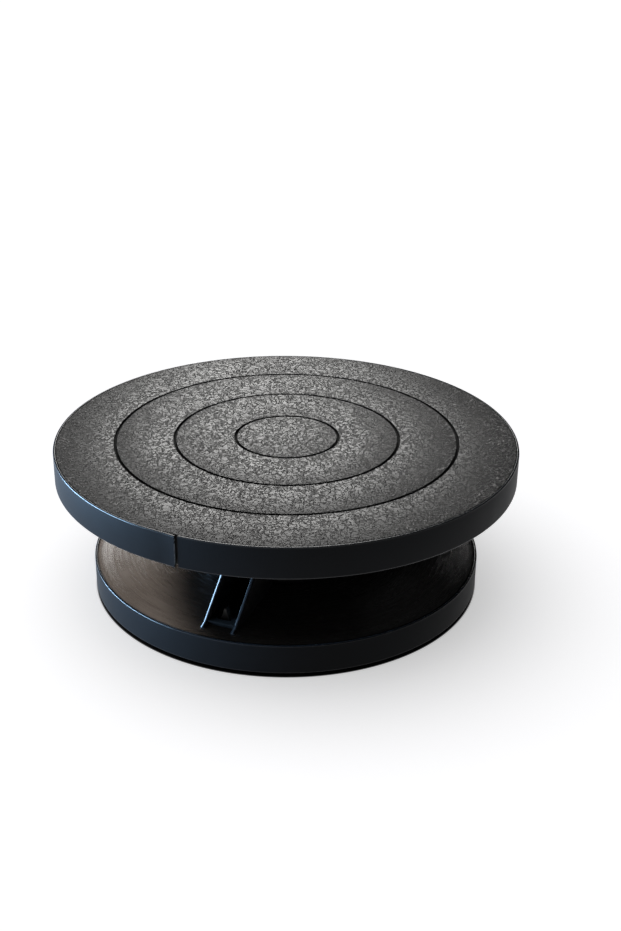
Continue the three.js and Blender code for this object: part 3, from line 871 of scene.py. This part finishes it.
def light_only(lamp, *pieces):
    """Keeps a lamp on some pieces, as a snoot would."""
    lit = bpy.data.collections.new(f"{lamp.name}_spot")
    for piece in pieces:
        lit.objects.link(piece)
    lamp.light_linking.receiver_collection = lit


def panel(name, place, aim, width, height, color, watts):
    """A soft rectangular light that faces a point."""
    data = bpy.data.lights.new(name, "AREA")
    data.shape = "RECTANGLE"
    data.size, data.size_y = width, height
    data.color = color
    data.energy = watts
    lamp = bpy.data.objects.new(name, data)
    bpy.context.scene.collection.objects.link(lamp)
    lamp.location = place
    lamp.rotation_euler = (Vector(aim) - Vector(place)).to_track_quat("-Z", "Y").to_euler()
    return lamp


def daylight(place, spread, strength):
    """Even light from one side of the sky, `spread` degrees wide, that falls on the whole floor."""
    data = bpy.data.lights.new("daylight", "SUN")
    data.angle = math.radians(spread)
    data.energy = strength
    lamp = bpy.data.objects.new("daylight", data)
    bpy.context.scene.collection.objects.link(lamp)
    lamp.rotation_euler = (-Vector(place)).to_track_quat("-Z", "Y").to_euler()


def sky(color, strength):
    """Dim surroundings that light the object, seen as plain white by the camera itself."""
    world = bpy.data.worlds.new("studio")
    bpy.context.scene.world = world
    world.use_nodes = True
    tree = world.node_tree
    dim = tree.nodes["Background"]
    dim.inputs["Color"].default_value = (*color, 1)
    dim.inputs["Strength"].default_value = strength
    white = tree.nodes.new("ShaderNodeBackground")
    white.inputs["Color"].default_value = (1, 1, 1, 1)
    mix = tree.nodes.new("ShaderNodeMixShader")
    path = tree.nodes.new("ShaderNodeLightPath")
    tree.links.new(path.outputs["Is Camera Ray"], mix.inputs[0])
    tree.links.new(dim.outputs[0], mix.inputs[1])
    tree.links.new(white.outputs[0], mix.inputs[2])
    tree.links.new(mix.outputs[0], tree.nodes["World Output"].inputs["Surface"])


def camera():
    """The photograph's view: a little rolled, and aimed up and right of the object's middle."""
    distance, elevation = 0.43183, math.radians(27.03)
    aim_right, aim_up, roll = 0.01833, 0.0303, 0.0125
    data = bpy.data.cameras.new("camera")
    data.lens = 50
    data.sensor_width = 36
    view = bpy.data.objects.new("camera", data)
    bpy.context.scene.collection.objects.link(view)
    target = Vector((0, 0, HEAD_TOP / 2))
    forward = Vector((0, math.cos(elevation), -math.sin(elevation)))
    view.location = target - forward * distance
    right = Vector((1, 0, 0))
    up = right.cross(forward)
    look = forward * math.cos(aim_right) + right * math.sin(aim_right)
    look = look * math.cos(aim_up) + up * math.sin(aim_up)
    side = look.cross(Vector((0, 0, 1))).normalized()
    top = side.cross(look)
    side, top = side * math.cos(roll) + top * math.sin(roll), top * math.cos(roll) - side * math.sin(roll)
    turn = Matrix((side, top, -look)).transposed()
    view.rotation_euler = turn.to_euler()
    bpy.context.scene.camera = view


ground = floor()
sky((1.0, 1.0, 1.0), 0.06)
daylight((-0.3, 0.15, 1.0), 80, 2.0)
back = panel("back_softbox", (-0.03, 0.68, 0.36), (-0.01, 0, 0.05), 0.20, 0.20, (1.0, 0.99, 0.97), 1.7)
cool = (0.42, 0.68, 1.0)
cool_side = panel("cool_side", (-0.34, 0.00, 0.07), (0, 0, 0.03), 0.3, 0.12, cool, 8.8)
cool_low = panel("cool_low", (-0.46, 0.48, 0.068), (-0.014, -0.037, 0.02), 0.22, 0.11, cool, 2.5)
warm_side = panel("warm_side", (-0.343, 0.142, 0.252), (-0.05, -0.01, 0.01), 0.06, 0.06,
                  (1.0, 0.86, 0.76), 13)
keep_off(back, ground)
keep_off(cool_side, ground, wheel_head, base_moulding)
light_only(cool_low, spider)
light_only(warm_side, base_moulding)
camera()
bpy.context.scene.view_settings.view_transform = "Standard"
